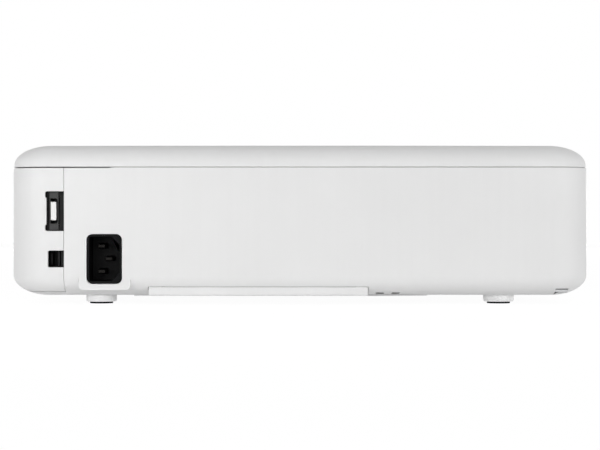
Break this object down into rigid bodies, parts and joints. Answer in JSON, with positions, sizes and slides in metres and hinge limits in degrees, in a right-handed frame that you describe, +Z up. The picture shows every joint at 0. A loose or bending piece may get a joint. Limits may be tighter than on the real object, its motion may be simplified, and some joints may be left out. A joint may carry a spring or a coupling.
{
  "type": "lcd projector",
  "caption": "Flat white home LCD projector: rounded case and lid, rear ports and mains inlet, hinged filter cover, sliding lens cover, focus ring, keys, fans and light engine.",
  "frame": {"origin": "middle of the outline, on the plane that the feet stand on", "axes": "+Y is the direction of projection, out of the lens; -Y is the rear with the sockets; +Z is up; +X is to the right seen from the rear"},
  "size_m": [0.32, 0.211, 0.0885],
  "materials": {
    "white_abs": "fine satin, moulded",
    "black_abs": "satin black, moulded",
    "grey_abs": "satin grey, moulded",
    "black_rubber": "matt",
    "plated_steel": "bright plated sheet",
    "nickelled_brass": "nickel plated",
    "cast_magnesium": "as cast, grey light alloy",
    "coated_glass": "coated optical glass",
    "green_board": "glass epoxy board with green resist",
    "filter_foam": "open foam mat",
    "smoked_acrylic": "polished dark red-black",
    "clear_acrylic": "polished clear",
    "light_nylon": "pale nylon"
  },
  "bodies": {
    "case": {"lower_case": "white_abs", "top_cover": "white_abs", "port_bracket": "black_abs", "hdmi_shell": "plated_steel", "hdmi_insert": "light_nylon", "service_socket": "black_abs", "main_board": "green_board", "inlet_housing": "black_abs", "inlet_live_blade": "nickelled_brass", "inlet_neutral_blade": "nickelled_brass", "inlet_earth_blade": "nickelled_brass", "rear_foot_left": "white_abs", "rear_foot_right": "white_abs", "rear_foot_pad_left": "black_rubber", "rear_foot_pad_right": "black_rubber", "security_bar": "plated_steel", "lens_surround": "black_abs", "lens_barrel": "black_abs", "front_lens": "coated_glass", "rear_lens": "coated_glass", "exhaust_grille": "white_abs", "receiver_window": "smoked_acrylic", "exhaust_fan_frame": "black_abs", "intake_fan_frame": "black_abs", "optical_engine_case": "cast_magnesium", "engine_lid": "cast_magnesium", "dichroic_prism": "coated_glass", "lcd_panel_red": "smoked_acrylic", "lcd_panel_green": "smoked_acrylic", "lcd_panel_blue": "smoked_acrylic", "lamp_housing": "grey_abs", "lamp_reflector": "coated_glass", "lamp_burner": "coated_glass", "power_supply_board": "green_board", "speaker": "black_abs", "control_board": "green_board", "light_pipe": "clear_acrylic"},
    "port_cover": {"port_cover": "white_abs"},
    "filter_door": {"filter_cover": "white_abs", "air_filter": "filter_foam"},
    "front_foot": {"front_foot_leg": "white_abs", "front_foot_pad": "black_rubber"},
    "foot_release": {"foot_release_lever": "white_abs"},
    "lens_cover": {"lens_cover": "black_abs"},
    "focus_ring": {"focus_ring": "grey_abs"},
    "exhaust_rotor": {"exhaust_fan_rotor": "grey_abs"},
    "intake_rotor": {"intake_fan_rotor": "grey_abs"},
    "keystone_slider": {"keystone_slider": "white_abs"},
    "power_button": {"power_button": "white_abs"},
    "source_button": {"source_button": "white_abs"},
    "menu_button": {"menu_button": "white_abs"},
    "escape_button": {"escape_button": "white_abs"},
    "enter_button": {"enter_button": "white_abs"},
    "up_button": {"up_button": "white_abs"},
    "down_button": {"down_button": "white_abs"},
    "left_button": {"left_button": "white_abs"},
    "right_button": {"right_button": "white_abs"}
  },
  "joints": [
    {"name": "port_cover_slide", "type": "slide", "parent": "case", "child": "port_cover", "axis": [-1, 0, 0], "range_m": [0, 0.035]},
    {"name": "filter_door_hinge", "type": "hinge", "parent": "case", "child": "filter_door", "pos_m": [0, -0.0403, 0.0046], "axis": [1, 0, 0], "range_deg": [0, 75]},
    {"name": "front_foot_slide", "type": "slide", "parent": "case", "child": "front_foot", "axis": [0, 0, -1], "range_m": [0, 0.03]},
    {"name": "foot_release_press", "type": "slide", "parent": "case", "child": "foot_release", "axis": [0, -1, 0], "range_m": [0, 0.0015], "stiffness_N_per_m": 600, "springref_m": -0.0005},
    {"name": "lens_cover_slide", "type": "slide", "parent": "case", "child": "lens_cover", "axis": [1, 0, 0], "range_m": [0, 0.062]},
    {"name": "focus_turn", "type": "hinge", "parent": "case", "child": "focus_ring", "pos_m": [0.092, 0.084, 0.044], "axis": [0, 1, 0], "range_deg": [-30, 30]},
    {"name": "exhaust_spin", "type": "hinge", "parent": "case", "child": "exhaust_rotor", "pos_m": [-0.068, 0.088, 0.04465], "axis": [0, 1, 0], "continuous": true},
    {"name": "intake_spin", "type": "hinge", "parent": "case", "child": "intake_rotor", "pos_m": [-0.03, -0.058, 0.023], "axis": [0, 0, 1], "continuous": true},
    {"name": "keystone_slide", "type": "slide", "parent": "case", "child": "keystone_slider", "axis": [1, 0, 0], "range_m": [-0.01, 0.01]},
    {"name": "power_press", "type": "slide", "parent": "case", "child": "power_button", "axis": [0, 0, -1], "range_m": [0, 0.0008], "stiffness_N_per_m": 600, "springref_m": -0.0004},
    {"name": "source_press", "type": "slide", "parent": "case", "child": "source_button", "axis": [0, 0, -1], "range_m": [0, 0.0008], "stiffness_N_per_m": 600, "springref_m": -0.0004},
    {"name": "menu_press", "type": "slide", "parent": "case", "child": "menu_button", "axis": [0, 0, -1], "range_m": [0, 0.0008], "stiffness_N_per_m": 600, "springref_m": -0.0004},
    {"name": "escape_press", "type": "slide", "parent": "case", "child": "escape_button", "axis": [0, 0, -1], "range_m": [0, 0.0008], "stiffness_N_per_m": 600, "springref_m": -0.0004},
    {"name": "enter_press", "type": "slide", "parent": "case", "child": "enter_button", "axis": [0, 0, -1], "range_m": [0, 0.0008], "stiffness_N_per_m": 600, "springref_m": -0.0004},
    {"name": "up_press", "type": "slide", "parent": "case", "child": "up_button", "axis": [0, 0, -1], "range_m": [0, 0.0008], "stiffness_N_per_m": 600, "springref_m": -0.0004},
    {"name": "down_press", "type": "slide", "parent": "case", "child": "down_button", "axis": [0, 0, -1], "range_m": [0, 0.0008], "stiffness_N_per_m": 600, "springref_m": -0.0004},
    {"name": "left_press", "type": "slide", "parent": "case", "child": "left_button", "axis": [0, 0, -1], "range_m": [0, 0.0008], "stiffness_N_per_m": 600, "springref_m": -0.0004},
    {"name": "right_press", "type": "slide", "parent": "case", "child": "right_button", "axis": [0, 0, -1], "range_m": [0, 0.0008], "stiffness_N_per_m": 600, "springref_m": -0.0004}
  ]
}
